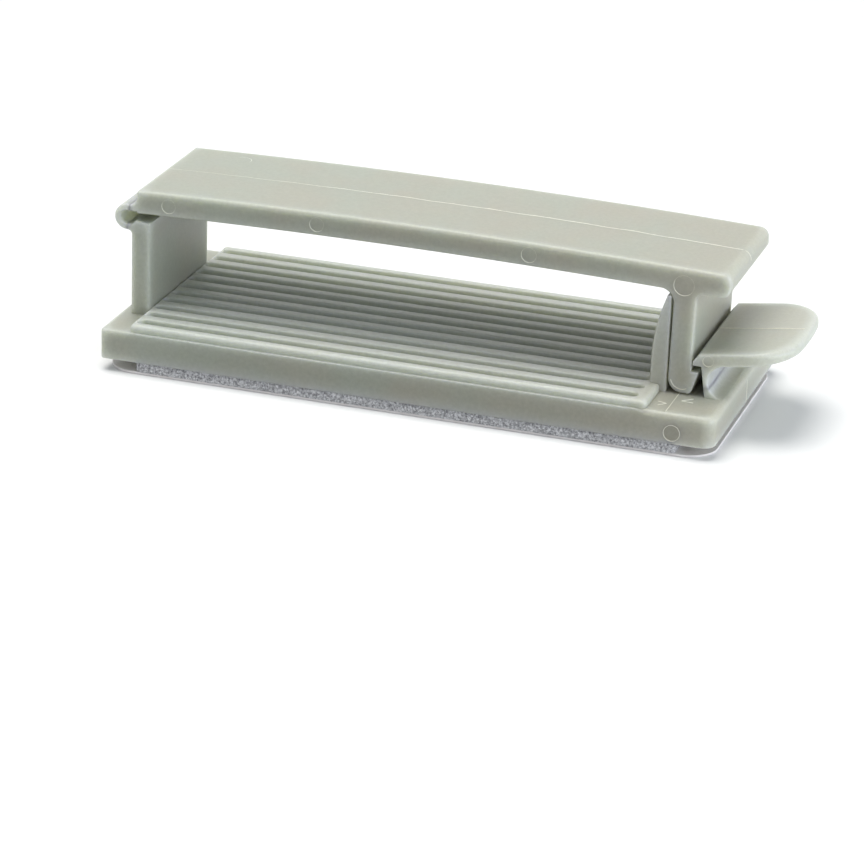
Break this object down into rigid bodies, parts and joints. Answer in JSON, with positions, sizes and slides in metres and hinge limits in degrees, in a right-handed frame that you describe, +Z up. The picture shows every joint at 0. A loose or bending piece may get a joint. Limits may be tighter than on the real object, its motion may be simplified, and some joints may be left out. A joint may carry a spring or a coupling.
{
  "type": "flat cable holder",
  "caption": "Moulded clip for flat cables, with a hinged strap, a barbed latch leg, a flexing catch with a thumb tab, and an adhesive foam pad.",
  "frame": {"origin": "centre of the pad's mounting side, on the underside of the release liner", "axes": "+X along the strap from the hinge to the thumb tab, +Y across the strap, +Z up, away from the mounting surface"},
  "size_m": [0.0676, 0.026, 0.0171],
  "materials": {
    "nylon": "natural grey-green nylon, as moulded, satin",
    "foam": "pale grey closed-cell foam, rough cut edge",
    "liner": "smooth coated release paper"
  },
  "bodies": {
    "holder": {"base": "nylon", "hinge_loop": "nylon", "catch_arm": "nylon", "foam_pad": "foam", "release_liner": "liner"},
    "strap": {"strap": "nylon"},
    "catch": {"catch": "nylon"}
  },
  "joints": [
    {"name": "strap_hinge", "type": "hinge", "parent": "holder", "child": "strap", "pos_m": [-0.02995, 0, 0.014], "axis": [0, -1, 0], "range_deg": [0, 135], "deforming": ["hinge_loop"]},
    {"name": "catch_flex", "type": "hinge", "parent": "holder", "child": "catch", "pos_m": [0.02814, 0, 0.00586], "axis": [0, 1, 0], "range_deg": [0, 25], "stiffness_Nm_per_rad": 0.15, "deforming": ["catch_arm"]}
  ]
}
